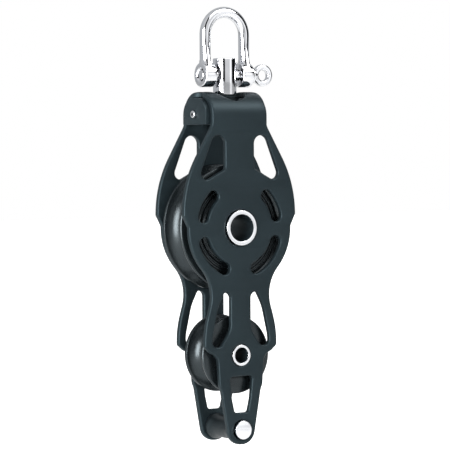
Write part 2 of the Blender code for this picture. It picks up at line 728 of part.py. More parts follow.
def becket_spool(material):
    """The roller round the becket pin, with a shallow waist for the rope's eye."""
    half = INNER_Y - GAP
    waist = half - SPOOL_FLANGE_T
    slope = SPOOL_R - SPOOL_DRUM_R
    outer = [(SPOOL_R, half), (SPOOL_R, waist + slope), (SPOOL_DRUM_R, waist)]
    bore_r = BECKET_PIN_R + GAP
    profile = [(bore_r, half), *outer, *[(r, -h) for r, h in reversed(outer)], (bore_r, -half)]
    return turned("becket_spool", profile, "Y", (0, 0, BECKET_Z), parts, material)


def build():
    black = finish("satin_black_anodised", (0.035, 0.041, 0.046), 0.42, 0.6)
    gloss = finish("smooth_black_anodised", (0.012, 0.013, 0.015), 0.28, 0.4)
    steel = finish("polished_stainless_steel", (0.62, 0.62, 0.63), 0.1, 1.0)
    dull = finish("plain_stainless_steel", (0.48, 0.48, 0.49), 0.3, 1.0)
    bronze = finish("bearing_bronze", (0.42, 0.27, 0.12), 0.35, 1.0)
    plastic = finish("black_acetal", (0.01, 0.01, 0.011), 0.3, 0.0)
    white = finish("white_acetal", (0.75, 0.74, 0.7), 0.35, 0.0)

    side_plate("front_side_plate", -1, black)
    side_plate("rear_side_plate", 1, black)
    head_block(black)
    post_bushing(plastic)
    swivel_post(steel)
    sleeve(
        "post_thrust_washer",
        POST_NECK_R + GAP,
        WASHER_R,
        NUT_SEAT_Z - GAP - WASHER_T,
        NUT_SEAT_Z - GAP,
        "Z",
        (0, 0, 0),
        bronze,
    )
    post_nut(dull)
    half_pin = NUT_R * cos(pi / 6) - GAP
    rod("post_roll_pin", ROLL_PIN_R, -half_pin, half_pin, "Y", (0, 0, NUT_Z - NUT_H / 2), parts, dull, 12)
    set_screw(dull)
    shackle_bow(steel)
    shackle_pin(steel)

    main_balls = (MAIN_BALL_CIRCLE, MAIN_BALL_R, MAIN_BALLS)
    small_balls = (SMALL_BALL_CIRCLE, SMALL_BALL_R, SMALL_BALLS)
    rows = (
        ("main", MAIN_Z, MAIN_R, MAIN_GROOVE_R, MAIN_AXLE_R, *main_balls),
        ("small", SMALL_Z, SMALL_R, SMALL_GROOVE_R, SMALL_AXLE_R, *small_balls),
    )
    for word, z, radius, groove_r, axle_r, ball_circle, ball_r, balls in rows:
        bush_in = axle_r + GAP
        bush_out = bush_in + BUSHING_T
        recess = (ball_circle + WEB_FROM_BALLS, radius - WEB_RIM, WEB_DEPTH) if word == "main" else None
        steps = 44 if word == "main" else 36
        name = f"{word}_sheave"
        sheave(name, radius, groove_r, bush_out + GAP, ball_circle, ball_r, z, gloss, steps, recess)
        sleeve(f"{word}_bushing", bush_in, bush_out, -RACE_Y + GAP, RACE_Y - GAP, "Y", (0, 0, z), white)
        for side, end in ((-1, "front"), (1, "rear")):
            ball_ring(f"{word}_{end}_ball_ring", side, ball_circle, ball_r, balls, z, white)
            low, high = sorted((side * RACE_Y, side * (RACE_Y + RACE_T)))
            race_r = ball_circle + ball_r + GAP
            sleeve(f"{word}_{end}_race", bush_in, race_r, low, high, "Y", (0, 0, z), dull)
    axle("main_axle", MAIN_AXLE_R, MAIN_AXLE_BORE_R, MAIN_RIM_R, MAIN_RIM_PROUD, MAIN_Z, steel, 32)
    axle("small_axle", SMALL_AXLE_R, SMALL_AXLE_BORE_R, SMALL_RIM_R, SMALL_RIM_PROUD, SMALL_Z, steel, 24)

    becket_pin(steel)
    becket_clip(dull)
    becket_spool(plastic)


build()
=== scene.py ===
# %% [markdown]
# # A fiddle block in a small studio
#
# A fiddle block is a rope pulley with two sheaves in line, a large one above a small one, between two
# side plates. It hangs from a shackle on a swivelling post. This script dresses a finished mechanical
# model: the model gives every place and axis, and each piece made here is shaped at that place, then
# told which moving body it belongs to.

# %% Load the frame
import json
from math import acos, asin, atan2, ceil, cos, pi, radians, sin, sqrt, tan

import bmesh
import bpy
from mathutils import Matrix, Vector


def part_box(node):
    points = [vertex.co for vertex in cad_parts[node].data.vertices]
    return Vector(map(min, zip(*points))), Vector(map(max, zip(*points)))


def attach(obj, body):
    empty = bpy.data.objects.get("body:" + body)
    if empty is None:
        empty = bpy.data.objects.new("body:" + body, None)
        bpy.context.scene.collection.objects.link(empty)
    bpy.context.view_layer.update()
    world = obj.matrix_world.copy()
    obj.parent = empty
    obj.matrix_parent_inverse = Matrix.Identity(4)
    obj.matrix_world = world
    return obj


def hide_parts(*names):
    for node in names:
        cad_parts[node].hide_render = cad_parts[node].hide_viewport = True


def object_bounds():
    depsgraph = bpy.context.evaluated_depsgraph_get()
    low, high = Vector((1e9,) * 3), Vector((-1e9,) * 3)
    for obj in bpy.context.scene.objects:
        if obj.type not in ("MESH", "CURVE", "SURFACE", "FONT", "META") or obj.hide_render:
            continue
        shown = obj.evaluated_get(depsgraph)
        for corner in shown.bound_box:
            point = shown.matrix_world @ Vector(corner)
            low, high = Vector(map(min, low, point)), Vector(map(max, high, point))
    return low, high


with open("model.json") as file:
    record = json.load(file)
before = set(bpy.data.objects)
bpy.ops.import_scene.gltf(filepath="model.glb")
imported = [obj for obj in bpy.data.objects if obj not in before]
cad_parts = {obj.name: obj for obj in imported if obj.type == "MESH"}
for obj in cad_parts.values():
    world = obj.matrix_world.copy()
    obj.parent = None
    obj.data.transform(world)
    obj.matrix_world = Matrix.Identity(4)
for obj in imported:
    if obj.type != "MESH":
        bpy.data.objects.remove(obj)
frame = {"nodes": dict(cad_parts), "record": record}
cad_box = [list(map(float, corner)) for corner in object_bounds()]
joints = {joint["name"]: joint for joint in frame["record"]["behaviour"]["joints"]}
print("CAD box", cad_box)

# %% [markdown]
# ## Places
#
# The axes of the sheaves, the becket and the shackle pin come from the joints, and the plates' outer
# faces from the plates' own boxes. Sizes that belong to one shape are given in millimetres.

# %% Places and main sizes
MM = 0.001
MAIN = Vector(joints["main_sheave_turn"]["pos_m"])
SMALL = Vector(joints["small_sheave_turn"]["pos_m"])
BECKET = Vector(joints["becket_spool_turn"]["pos_m"])
PIN = Vector(joints["shackle_swing"]["pos_m"])
PLATE_LOW, PLATE_HIGH = (Vector(corner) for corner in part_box("front_side_plate"))
BLOCK_LOW, BLOCK_HIGH = (Vector(corner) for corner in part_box("head_block"))
SHEAVE_HIGH = Vector(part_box("main_sheave")[1])
OUTER_Y = Vector(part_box("rear_side_plate")[1]).y
HEAD_TOP = PLATE_HIGH.z
PLATE_T = 2.9 * MM
INNER_Y = OUTER_Y - PLATE_T
GAP = 0.3 * MM  # clearance between moving pieces
MAIN_R = SHEAVE_HIGH.z - MAIN.z
SMALL_R = Vector(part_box("small_sheave")[1]).z - SMALL.z
SHEAVE_HALF = SHEAVE_HIGH.y
print(f"large sheave {2000 * MAIN_R:.1f} mm, small sheave {2000 * SMALL_R:.1f} mm")

# %% [markdown]
# ## Colours and nodes
#
# Colours are written as the hex values a painter would pick and turned into the linear values that
# the renderer works in. One helper adds any node, fills in its sockets and links it.


# %% Colour and node helpers
def linear(hex_colour):
    """An sRGB hex colour as linear RGBA."""
    channels = [int(hex_colour[i : i + 2], 16) / 255 for i in (1, 3, 5)]
    return (*[c / 12.92 if c <= 0.04045 else ((c + 0.055) / 1.055) ** 2.4 for c in channels], 1.0)


def add_node(tree, kind, sockets=None, **settings):
    """Add a node: settings are its properties, sockets its input values or the outputs that feed them."""
    made = tree.nodes.new(kind)
    for word, value in settings.items():
        setattr(made, word, value)
    for key, value in (sockets or {}).items():
        if isinstance(value, bpy.types.NodeSocket):
            tree.links.new(value, made.inputs[key])
        else:
            made.inputs[key].default_value = value
    return made


def new_material(name, **constants):
    """A material with its Principled shader, whose constant values are set on the shader's own sockets."""
    made = bpy.data.materials.new(name)
    made.use_nodes = True
    shader = made.node_tree.nodes["Principled BSDF"]
    for key, value in constants.items():
        shader.inputs[key.replace("_", " ").title().replace("Ior", "IOR")].default_value = value
    return made, made.node_tree, shader


print("white is", linear("#ffffff"))

# %% [markdown]
# ## Satin black hard-anodised aluminium
#
# The plates and the head block are milled or pressed aluminium, blasted to a fine matt and then hard
# anodised. The oxide is a dark charcoal, slightly blue, with a soft broad sheen. The blast leaves a
# grain of about 0.05 mm, drawn here at 0.25 mm so that it shows, and the dye varies a little over
# several centimetres. Edges that get handled are rubbed to a paler grey, which the angle between the
# true normal and a bevelled one finds.


# %% Plate material
def satin_black_anodised():
    made, tree, shader = new_material("satin_black_hard_anodised_aluminium", metallic=0.1)
    shader.inputs["Specular Tint"].default_value = linear("#d3f3ff")
    shader.inputs["Specular IOR Level"].default_value = 0.26
    place = add_node(tree, "ShaderNodeTexCoord").outputs["Object"]
    grain = add_node(tree, "ShaderNodeTexNoise", {"Vector": place, "Scale": 1 / (0.25 * MM), "Detail": 2.0})
    dye = add_node(tree, "ShaderNodeTexNoise", {"Vector": place, "Scale": 1 / (35 * MM), "Detail": 3.0})
    rubbed = add_node(tree, "ShaderNodeTexNoise", {"Vector": place, "Scale": 1 / (4 * MM), "Detail": 4.0})
    tone = add_node(tree, "ShaderNodeValToRGB", {"Fac": dye.outputs["Fac"]})
    tone.color_ramp.elements[0].position, tone.color_ramp.elements[0].color = 0.3, linear("#11171a")
    tone.color_ramp.elements[1].position, tone.color_ramp.elements[1].color = 0.7, linear("#161d20")
    speckle = add_node(
        tree, "ShaderNodeMapRange", {"Value": grain.outputs["Fac"], "To Min": 0.9, "To Max": 1.1}
    )
    grey = add_node(
        tree,
        "ShaderNodeMix",
        {"Factor": 1.0, 6: tone.outputs["Color"], 7: speckle.outputs["Result"]},
        data_type="RGBA",
        blend_type="MULTIPLY",
    )
    soft = add_node(tree, "ShaderNodeBevel", {"Radius": 0.5 * MM}, samples=4)
    true = add_node(tree, "ShaderNodeNewGeometry")
    facing = add_node(
        tree,
        "ShaderNodeVectorMath",
        {0: soft.outputs["Normal"], 1: true.outputs["Normal"]},
        operation="DOT_PRODUCT",
    )
    edge = add_node(
        tree, "ShaderNodeMapRange", {"Value": facing.outputs["Value"], "From Min": 0.995, "From Max": 0.9}
    )
    patchy = add_node(
        tree,
        "ShaderNodeMath",
        {0: edge.outputs["Result"], 1: rubbed.outputs["Fac"]},
        operation="MULTIPLY",
    )
    worn = add_node(
        tree,
        "ShaderNodeMix",
        {"Factor": patchy.outputs["Value"], 6: grey.outputs[2], 7: linear("#2c3336")},
        data_type="RGBA",
    )
    tree.links.new(worn.outputs[2], shader.inputs["Base Color"])
    rough = add_node(
        tree, "ShaderNodeMapRange", {"Value": dye.outputs["Fac"], "To Min": 0.38, "To Max": 0.48}
    )
    tree.links.new(rough.outputs["Result"], shader.inputs["Roughness"])
    bump = add_node(
        tree, "ShaderNodeBump", {"Height": grain.outputs["Fac"], "Strength": 0.12, "Distance": 0.05 * MM}
    )
    tree.links.new(bump.outputs["Normal"], shader.inputs["Normal"])
    return made


PLATE_FINISH = satin_black_anodised()
print("made", PLATE_FINISH.name)

# %% [markdown]
# ## Turned black anodised aluminium
#
# Sheaves come off a lathe, so fine rings run round the axle before they are anodised a smooth, deep
# black. The cutter advances about 0.1 mm a turn, drawn at 0.4 mm so that it shows. The rings follow
# the distance from the axle on the faces and the distance along it in the groove, so both feed the
# pattern.


# %% Sheave material
def turned_black_anodised(name, centre):
    made, tree, shader = new_material(name, metallic=0.15)
    shader.inputs["Specular Tint"].default_value = linear("#e4f2f8")
    shader.inputs["Specular IOR Level"].default_value = 0.55
    place = add_node(tree, "ShaderNodeTexCoord").outputs["Object"]
    centred = add_node(tree, "ShaderNodeMapping", {"Vector": place, "Location": -centre})
    parts = add_node(tree, "ShaderNodeSeparateXYZ", {"Vector": centred.outputs["Vector"]})
    flat = add_node(tree, "ShaderNodeCombineXYZ", {"X": parts.outputs["X"], "Z": parts.outputs["Z"]})
    distance = add_node(tree, "ShaderNodeVectorMath", {0: flat.outputs["Vector"]}, operation="LENGTH")
    both = add_node(
        tree, "ShaderNodeMath", {0: distance.outputs["Value"], 1: parts.outputs["Y"]}, operation="ADD"
    )
    rings = add_node(
        tree, "ShaderNodeMath", {0: both.outputs["Value"], 1: 2 * pi / (0.4 * MM)}, operation="MULTIPLY"
    )
    wave = add_node(tree, "ShaderNodeMath", {0: rings.outputs["Value"]}, operation="SINE")
    dye = add_node(tree, "ShaderNodeTexNoise", {"Vector": place, "Scale": 1 / (18 * MM), "Detail": 3.0})
    tone = add_node(tree, "ShaderNodeValToRGB", {"Fac": dye.outputs["Fac"]})
    tone.color_ramp.elements[0].position, tone.color_ramp.elements[0].color = 0.3, linear("#0c1012")
    tone.color_ramp.elements[1].position, tone.color_ramp.elements[1].color = 0.7, linear("#121618")
    tree.links.new(tone.outputs["Color"], shader.inputs["Base Color"])
    rough = add_node(
        tree, "ShaderNodeMapRange", {"Value": dye.outputs["Fac"], "To Min": 0.22, "To Max": 0.3}
    )
    tree.links.new(rough.outputs["Result"], shader.inputs["Roughness"])
    bump = add_node(
        tree, "ShaderNodeBump", {"Height": wave.outputs["Value"], "Strength": 0.15, "Distance": 0.02 * MM}
    )
    tree.links.new(bump.outputs["Normal"], shader.inputs["Normal"])
    return made


MAIN_FINISH = turned_black_anodised("turned_black_anodised_large_sheave", MAIN)
SMALL_FINISH = turned_black_anodised("turned_black_anodised_small_sheave", SMALL)
print("made", MAIN_FINISH.name, SMALL_FINISH.name)

# %% [markdown]
# ## Stainless steel, polished and plain
#
# The shackle, post, pins and axle rims are mirror-polished stainless steel. A polish is never perfect:
# fine buffing lines and faint finger marks spread the reflection here and there. The nut, clip and
# washers are left as they come off the lathe, with a duller, brushed look.


# %% Steel materials
def stainless_steel(name, tint, low_rough, high_rough, line_mm, line_depth_mm):
    made, tree, shader = new_material(name, metallic=1.0)
    place = add_node(tree, "ShaderNodeTexCoord").outputs["Object"]
    marks = add_node(tree, "ShaderNodeTexNoise", {"Vector": place, "Scale": 1 / (6 * MM), "Detail": 5.0})
    stretched = add_node(tree, "ShaderNodeMapping", {"Vector": place, "Scale": (1.0, 1.0, 0.08)})
    lines = add_node(
        tree,
        "ShaderNodeTexNoise",
        {"Vector": stretched.outputs["Vector"], "Scale": 1 / (line_mm * MM), "Detail": 3.0},
    )
    tone = add_node(tree, "ShaderNodeValToRGB", {"Fac": marks.outputs["Fac"]})
    tone.color_ramp.elements[0].position, tone.color_ramp.elements[0].color = 0.25, linear(tint[0])
    tone.color_ramp.elements[1].position, tone.color_ramp.elements[1].color = 0.75, linear(tint[1])
    tree.links.new(tone.outputs["Color"], shader.inputs["Base Color"])
    rough = add_node(
        tree,
        "ShaderNodeMapRange",
        {
            "Value": marks.outputs["Fac"],
            "From Min": 0.3,
            "From Max": 0.7,
            "To Min": low_rough,
            "To Max": high_rough,
        },
    )
    tree.links.new(rough.outputs["Result"], shader.inputs["Roughness"])
    bump = add_node(
        tree,
        "ShaderNodeBump",
        {"Height": lines.outputs["Fac"], "Strength": 0.1, "Distance": line_depth_mm * MM},
    )
    tree.links.new(bump.outputs["Normal"], shader.inputs["Normal"])
    return made


POLISHED = stainless_steel("mirror_polished_stainless_steel", ("#cdced1", "#dcdde0"), 0.05, 0.11, 0.5, 0.01)
PLAIN = stainless_steel("turned_stainless_steel", ("#a9abad", "#bfc1c3"), 0.22, 0.34, 0.3, 0.03)
print("made", POLISHED.name, PLAIN.name)

# %% [markdown]
# ## Bronze and acetal
#
# The washer over the nut is bearing bronze, which goes brown where no load rubs it. The sheaves run on
# sleeves and balls of white acetal, a waxy, slightly yellow plastic, and the becket roller is the same
# plastic in black. The post's bushing is given the black plastic as painted shade, to darken the gap
# round the post. Moulded acetal shows a faint orange-peel skin of about 1.5 mm.


# %% Bronze and plastic materials
def bearing_bronze():
    made, tree, shader = new_material("turned_bearing_bronze", metallic=1.0)
    place = add_node(tree, "ShaderNodeTexCoord").outputs["Object"]
    stain = add_node(tree, "ShaderNodeTexNoise", {"Vector": place, "Scale": 1 / (3 * MM), "Detail": 4.0})
    tone = add_node(tree, "ShaderNodeValToRGB", {"Fac": stain.outputs["Fac"]})
    tone.color_ramp.elements[0].position, tone.color_ramp.elements[0].color = 0.3, linear("#8a6237")
    tone.color_ramp.elements[1].position, tone.color_ramp.elements[1].color = 0.7, linear("#b98a4e")
    tree.links.new(tone.outputs["Color"], shader.inputs["Base Color"])
    rough = add_node(
        tree, "ShaderNodeMapRange", {"Value": stain.outputs["Fac"], "To Min": 0.25, "To Max": 0.45}
    )
    tree.links.new(rough.outputs["Result"], shader.inputs["Roughness"])
    return made


def moulded_acetal(name, dark, light, low_rough, high_rough):
    made, tree, shader = new_material(name, ior=1.48)
    shader.inputs["Specular Tint"].default_value = linear("#b9d4dc")
    place = add_node(tree, "ShaderNodeTexCoord").outputs["Object"]
    skin = add_node(tree, "ShaderNodeTexNoise", {"Vector": place, "Scale": 1 / (1.5 * MM), "Detail": 2.0})
    cloud = add_node(tree, "ShaderNodeTexNoise", {"Vector": place, "Scale": 1 / (9 * MM), "Detail": 2.0})
    tone = add_node(tree, "ShaderNodeValToRGB", {"Fac": cloud.outputs["Fac"]})
    tone.color_ramp.elements[0].position, tone.color_ramp.elements[0].color = 0.3, linear(dark)
    tone.color_ramp.elements[1].position, tone.color_ramp.elements[1].color = 0.7, linear(light)
    tree.links.new(tone.outputs["Color"], shader.inputs["Base Color"])
    rough = add_node(
        tree, "ShaderNodeMapRange", {"Value": skin.outputs["Fac"], "To Min": low_rough, "To Max": high_rough}
    )
    tree.links.new(rough.outputs["Result"], shader.inputs["Roughness"])
    bump = add_node(
        tree, "ShaderNodeBump", {"Height": skin.outputs["Fac"], "Strength": 0.08, "Distance": 0.05 * MM}
    )
    tree.links.new(bump.outputs["Normal"], shader.inputs["Normal"])
    return made


BRONZE = bearing_bronze()
WHITE_ACETAL = moulded_acetal("moulded_white_acetal", "#dcd9cf", "#e8e5dc", 0.3, 0.4)
BLACK_ACETAL_AND_SHADE = moulded_acetal("moulded_black_acetal_and_painted_shade", "#06080a", "#0a0d0f", 0.42, 0.52)
print("made", BRONZE.name, WHITE_ACETAL.name, BLACK_ACETAL_AND_SHADE.name)

# %% [markdown]
# ## Workshop helpers
#
# Each piece starts as a primitive and is worked with the same few moves: deselect everything, add,
# edit, apply a modifier, put it on its body. A turned piece starts as one vertex that is extruded
# along its profile and spun round the axis, as a wood turner's template would be.


# %% Modelling helpers
def fresh(operator, name, **settings):
    """Add one primitive with nothing else selected, and name it."""
    bpy.ops.object.select_all(action="DESELECT")
    operator(**settings)
    made = bpy.context.object
    made.name = name
    return made


def only(piece):
    bpy.ops.object.select_all(action="DESELECT")
    piece.select_set(True)
    bpy.context.view_layer.objects.active = piece


def modify(piece, kind, **settings):
    """Add a modifier, set it and apply it."""
    only(piece)
    change = piece.modifiers.new(kind.lower(), kind)
    for word, value in settings.items():
        setattr(change, word, value)
    bpy.ops.object.modifier_apply(modifier=change.name)


def join_or_cut(piece, other, operation="DIFFERENCE"):
    """A Boolean with another piece, which is used up."""
    modify(piece, "BOOLEAN", object=other, operation=operation, solver="EXACT")
    bpy.data.objects.remove(other)


def soften(piece, width_mm, segments=3, limit=30):
    """Round the edges that are sharper than the limit."""
    modify(
        piece,
        "BEVEL",
        width=width_mm * MM,
        segments=segments,
        limit_method="ANGLE",
        angle_limit=radians(limit),
        use_clamp_overlap=True,
        miter_outer="MITER_ARC",
    )


def bake_place(piece):
    """Move a piece's place into its mesh, so that its object sits at the origin."""
    only(piece)
    bpy.ops.object.transform_apply(location=True, rotation=True, scale=True)


AXES = {"X": (0, pi / 2, 0), "Y": (-pi / 2, 0, 0), "Z": (0, 0, 0)}


def lathe(name, profile, axis, centre, steps=96):
    """Spin a profile of (radius, height) points, in metres, about an axis through centre."""
    piece = fresh(bpy.ops.mesh.primitive_plane_add, name, size=0.01)
    bpy.ops.object.mode_set(mode="EDIT")
    bpy.ops.mesh.select_all(action="SELECT")
    bpy.ops.mesh.merge(type="CENTER")
    at = Vector((profile[0][0], 0, profile[0][1]))
    bpy.ops.transform.translate(value=at)
    closed = profile[0][0] > 0 and profile[-1][0] > 0
    for radius, height in [*profile[1:], *(profile[:1] if closed else [])]:
        step = Vector((radius, 0, height)) - at
        bpy.ops.mesh.extrude_region_move(TRANSFORM_OT_translate={"value": step})
        at += step
    bpy.ops.mesh.select_all(action="SELECT")
    bpy.ops.mesh.remove_doubles(threshold=0.001 * MM)
    bpy.ops.mesh.spin(steps=steps, angle=2 * pi, center=(0, 0, 0), axis=(0, 0, 1))
    bpy.ops.mesh.select_all(action="SELECT")
    bpy.ops.mesh.remove_doubles(threshold=0.001 * MM)
    bpy.ops.mesh.normals_make_consistent(inside=False)
    bpy.ops.object.mode_set(mode="OBJECT")
    piece.rotation_euler = AXES[axis]
    piece.location = centre
    bake_place(piece)
    return piece


def drum(name, radius, depth, axis, centre, steps=64):
    """A plain cylinder, used for cutting and joining."""
    turn = {"X": (0, pi / 2, 0), "Y": (pi / 2, 0, 0), "Z": (0, 0, 0)}[axis]
    return fresh(
        bpy.ops.mesh.primitive_cylinder_add,
        name,
        vertices=steps,
        radius=radius,
        depth=depth,
        location=centre,
        rotation=turn,
    )


def settle(piece, material, body, slot, *nodes, smooth=35):
    """Finish a piece: material, shading, the body that it rides on and the nodes that it stands for."""
    bake_place(piece)
    piece.data.materials.clear()
    piece.data.materials.append(material)
    bpy.ops.object.shade_smooth_by_angle(angle=radians(smooth))
    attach(piece, body)
    if nodes:
        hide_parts(*nodes)
    print(f"{piece.name}: {len(piece.data.polygons)} faces on {body}")
    return piece


# %% [markdown]
# ## Outlines
#
# The plate's edge and its windows are straight lines joined by arcs, the way they are drawn for a
# cutter. A corner list gives each corner's place and radius, and one function rounds them all.


# %% Outline helpers
def rounded(corners):
    """The outline through (x, z, radius) corners in metres, each rounded; short edges share their length."""
    count = len(corners)
    points = [Vector(corner[:2]) for corner in corners]
    halves = []
    for i, point in enumerate(points):
        halves.append((points[i - 1] - point).angle(points[(i + 1) % count] - point) / 2)
    reaches = [corner[2] / tan(half) for corner, half in zip(corners, halves)]
    limits = list(reaches)
    for i in range(count):
        j = (i + 1) % count
        edge, both = (points[j] - points[i]).length, reaches[i] + reaches[j]
        if both > edge:
            limits[i] = min(limits[i], reaches[i] * edge / both)
            limits[j] = min(limits[j], reaches[j] * edge / both)
    outline = []
    for i, point in enumerate(points):
        back = (points[i - 1] - point).normalized()
        ahead = (points[(i + 1) % count] - point).normalized()
        radius = limits[i] * tan(halves[i])
        if radius < 0.05 * MM:
            outline.append(tuple(point))
            continue
        centre = point + (back + ahead).normalized() * radius / sin(halves[i])
        start = point + back * limits[i] - centre
        turn = start.angle_signed(point + ahead * limits[i] - centre)
        steps = max(2, ceil(abs(turn) / radians(9)), ceil(abs(turn) * radius / (2.5 * MM)))
        for k in range(steps + 1):
            swept = start.copy()
            swept.rotate(Matrix.Rotation(-turn * k / steps, 2))
            outline.append(tuple(centre + swept))
    return outline


def arc(x, z, radius, start, end, steps):
    angles = [start + (end - start) * k / steps for k in range(steps + 1)]
    return [(x + radius * cos(a), z + radius * sin(a)) for a in angles]


def arc_slot(z, radius, half_width, start, end):
    """A round-ended slot along an arc about (0, z), between two angles in degrees."""
    first, last = radians(start), radians(end)
    outline = arc(0, z, radius + half_width, first, last, 12)
    outline += arc(radius * cos(last), z + radius * sin(last), half_width, last, last + pi, 14)[1:-1]
    outline += arc(0, z, radius - half_width, last, first, 12)
    back = first + pi
    outline += arc(radius * cos(first), z + radius * sin(first), half_width, back, back + pi, 14)[1:-1]
    return outline


def in_mm(corners, z=0.0):
    return [(x * MM, z + up * MM, radius * MM) for x, up, radius in corners]


def mirrored(outline):
    return [(-x, z) for x, z in reversed(outline)]


print("a rounded square has", len(rounded(in_mm([(0, 0, 1), (9, 0, 1), (9, 9, 1), (0, 9, 1)]))), "points")

# %% [markdown]
# ## Side plates
#
# Each plate is cut flat, with its windows, and its top is then bent over the head block, so it is
# modelled that way too: a flat filled curve with rounded edges, developed to its unbent length, is
# made a mesh, sliced into strips across the bend, and its strips are wrapped round the bend's radius.
# A curve's own bevel gives every edge, outside and in the windows, the same 0.8 mm tumbled round.

# %% Plate sizes
BEND_R = 11.5 * MM  # outer radius of the bend
MID_R = BEND_R - PLATE_T / 2
BEND_Z = HEAD_TOP - BEND_R
BEND_Y = OUTER_Y - BEND_R  # the bend's centre line, out from the middle
FLAT_END = BEND_Z + MID_R * pi / 2 + BEND_Y - 0.15 * MM  # the developed top edge
HEAD_HALF_W = 15.0 * MM
POST_HOLE_R = 9.6 * MM
EDGE_ROUND = 0.8 * MM
SIDE_X = PLATE_HIGH.x
SHOW_R = MAIN_R - 1.6 * MM  # the plate's edge below the beak
WAIST_X, WAIST_R = 16.1 * MM, 20.0 * MM
HEAD_BOTTOM = BLOCK_LOW.z
print(f"developed plate length {1000 * (FLAT_END - PLATE_LOW.z):.1f} mm")


# %% Plate outline
def developed(y):
    """The developed height of the point at distance y from the middle plane on the bent top."""
    if y <= BEND_Y:
        return BEND_Z + MID_R * pi / 2 + BEND_Y - y
    return BEND_Z + MID_R * acos((y - BEND_Y) / MID_R)


def plate_outline():
    first = asin(0.15 * MM / POST_HOLE_R)
    angles = [first + (pi / 2 - first) * k / 14 for k in range(15)]
    notch = [(POST_HOLE_R * cos(a), developed(POST_HOLE_R * sin(a))) for a in angles]
    neck = HEAD_BOTTOM - 0.4 * MM
    swell = (SIDE_X - HEAD_HALF_W) * tan(radians(60))
    leave = atan2(sqrt((SHOW_R + WAIST_R) ** 2 - (WAIST_X + WAIST_R) ** 2), WAIST_X + WAIST_R)
    down = SHOW_R * sin(leave) + (SHOW_R * cos(leave) - WAIST_X) / tan(leave)
    corners = [(POST_HOLE_R, FLAT_END, 0), (HEAD_HALF_W, FLAT_END, 9.5 * MM), (HEAD_HALF_W, neck, 7 * MM)]
    corners += [(SIDE_X, neck - swell, 57.5 * MM), (SIDE_X, MAIN.z + 6.0 * MM, 1.3 * MM)]
    corners += [(SHOW_R, MAIN.z + 0.6 * MM, 1 * MM), (SHOW_R, MAIN.z - SHOW_R * tan(leave / 2), SHOW_R)]
    corners += [(WAIST_X, MAIN.z - down, WAIST_R), (WAIST_X, SMALL.z + SMALL_R + 7 * MM, WAIST_R)]
    corners += in_mm([(20.0, 12.2, 45), (20.0, 4.2, 2.2), (17.0, 1.6, 1), (12.8, -0.3, 5)], SMALL.z)
    corners += in_mm([(11.9, 21.1, 4), (10.9, 18.7, 4), (6.4, -7.0, 7.0)], BECKET.z)
    half = rounded([(0, FLAT_END, 0), *corners, (0, BECKET.z - 7 * MM, 0)])[2:-1]
    right = [*reversed(notch[:-1]), *half]
    top = [(0, notch[-1][1])]
    return top + right + [(0, BECKET.z - 7 * MM)] + [(-x, z) for x, z in reversed(right)]


def plate_holes():
    beside_main = rounded(in_mm([(8.0, 60.3, 3.95), (24.1, 19.5, 3.0), (8.0, 27.8, 1.5)], MAIN.z))
    foot = [(5.55, 29.7, 3.0), (9.1, 29.7, 1.4), (12.6, 22.9, 18), (15.8, 8.9, 14)]
    foot += [(15.8, 4.2, 2.7), (11.1, 4.2, 3.0), (5.55, 12.0, 9)]
    slots = [arc_slot(MAIN.z, MAIN_R - 9.1 * MM, 2.9 * MM, a, b) for a, b in ((15.3, 45.2), (-65.6, -19.6))]
    right = [beside_main, rounded(in_mm(foot, SMALL.z)), *slots]
    becket = [(6.3, 25.3, 1.8), (5.2, 14.7, 6), (3.7, 8.1, 1.6)]
    becket += [(-x, z, radius) for x, z, radius in reversed(becket)]
    round_holes = [(MAIN.z, 8.45 * MM), (SMALL.z, 5.1 * MM), (BECKET.z, 4.6 * MM)]
    rounds = [arc(0, z, radius, 0, 2 * pi, 64)[:-1] for z, radius in round_holes]
    return [*right, *[mirrored(hole) for hole in right], rounded(in_mm(becket, BECKET.z)), *rounds]


OUTLINE = plate_outline()
HOLES = plate_holes()
print(len(OUTLINE), "outline points,", len(HOLES), "holes")


# %% Build one plate
def side_plate(name, side):
    curve = bpy.data.curves.new(name, "CURVE")
    curve.dimensions = "2D"
    curve.fill_mode = "BOTH"
    curve.bevel_depth = EDGE_ROUND
    curve.bevel_resolution = 3
    curve.offset = -EDGE_ROUND
    curve.extrude = PLATE_T / 2 - EDGE_ROUND
    for outline in [OUTLINE, *HOLES]:
        spline = curve.splines.new("POLY")
        spline.points.add(len(outline) - 1)
        spline.use_cyclic_u = True
        for point, (x, z) in zip(spline.points, outline):
            point.co = (x, z, 0, 1)
    plate = bpy.data.objects.new(name, curve)
    bpy.context.scene.collection.objects.link(plate)
    only(plate)
    bpy.ops.object.convert(target="MESH")
    plate = bpy.context.object
    plate.rotation_euler = (pi / 2, 0, 0)
    plate.location = (0, side * (OUTER_Y - PLATE_T / 2), 0)
    bake_place(plate)
    bpy.ops.object.mode_set(mode="EDIT")
    bpy.ops.mesh.select_all(action="SELECT")
    bpy.ops.mesh.remove_doubles(threshold=0.002 * MM)
    strips = 22
    for k in range(strips + 1):
        bpy.ops.mesh.select_all(action="SELECT")
        height = BEND_Z + MID_R * pi / 2 * k / strips
        bpy.ops.mesh.bisect(plane_co=(0, 0, height), plane_no=(0, 0, 1))
    bpy.ops.mesh.select_all(action="SELECT")
    bpy.ops.mesh.normals_make_consistent(inside=False)
    bpy.ops.object.mode_set(mode="OBJECT")
    wrap(plate, side)
    modify(plate, "WEIGHTED_NORMAL", weight=60, keep_sharp=True)
    return plate


def wrap(plate, side):
    """Bend everything above the bend line over the head block, about a line along X."""
    for vertex in plate.data.vertices:
        past = vertex.co.z - BEND_Z
        if past <= 0:
            continue
        turn = min(past / MID_R, pi / 2)
        straight = past - MID_R * turn
        radius = abs(vertex.co.y) - BEND_Y
        y = BEND_Y + radius * cos(turn) - straight * sin(turn)
        vertex.co = (vertex.co.x, side * y, BEND_Z + radius * sin(turn) + straight * cos(turn))


